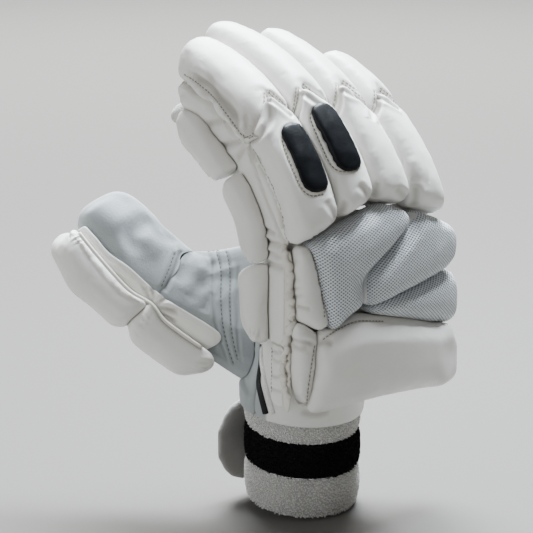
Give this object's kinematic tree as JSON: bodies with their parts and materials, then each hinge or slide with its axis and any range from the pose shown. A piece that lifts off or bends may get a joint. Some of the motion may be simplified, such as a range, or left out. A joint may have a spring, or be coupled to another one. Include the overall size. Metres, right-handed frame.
{
  "type": "batting glove",
  "caption": "Right-hand cricket batting glove: padded leather finger rolls and knuckle panels on a curled hand, grey leather palm and thumb, towelling cuff with a strap.",
  "frame": {"origin": "centre of the cuff's open mouth", "axes": "+Z from the wrist to the fingers, -Y out of the back of the hand, +Y out of the palm, -X to the thumb side"},
  "size_m": [0.1863, 0.1675, 0.2739],
  "materials": {
    "white_leather": "smooth white leather, soft sheen",
    "grey_leather": "soft matt light-grey leather",
    "embossed_leather": "silver-grey leather with small raised dots",
    "black_insert": "smooth black",
    "towelling": "off-white looped towelling",
    "black_towelling": "black looped towelling",
    "strap": "grey brushed fabric",
    "elastic_tape": "black elastic"
  },
  "bodies": {
    "root": {"lower_roll_index": "white_leather", "upper_roll_index": "white_leather", "finger_sleeve_index": "white_leather", "lower_roll_middle": "white_leather", "upper_roll_middle": "white_leather", "finger_sleeve_middle": "white_leather", "lower_roll_ring": "white_leather", "upper_roll_ring": "white_leather", "finger_sleeve_ring": "white_leather", "lower_roll_little": "white_leather", "upper_roll_little": "white_leather", "finger_sleeve_little": "white_leather", "oval_insert_index": "black_insert", "oval_insert_middle": "black_insert", "knuckle_panel_upper": "embossed_leather", "knuckle_panel_side": "white_leather", "knuckle_panel_middle": "embossed_leather", "knuckle_panel_lower": "embossed_leather", "wrist_bar": "white_leather", "wrist_bar_end": "white_leather", "index_side_wall": "white_leather", "index_guard_lower": "white_leather", "index_guard_middle": "white_leather", "index_guard_upper": "white_leather", "wrist_side_strip": "white_leather", "edge_binding": "white_leather", "hand_back": "white_leather", "palm_edge_strip": "grey_leather", "wrist_tape": "elastic_tape", "thumb_sleeve": "grey_leather", "thumb_back": "white_leather", "thumb_roll_lower": "white_leather", "thumb_roll_upper": "white_leather", "thumb_piping": "white_leather", "thumb_gusset": "grey_leather", "palm": "grey_leather", "cuff_lower": "towelling", "cuff_stripe": "black_towelling", "cuff_upper": "towelling", "wrist_strap": "strap"}
  },
  "joints": []
}
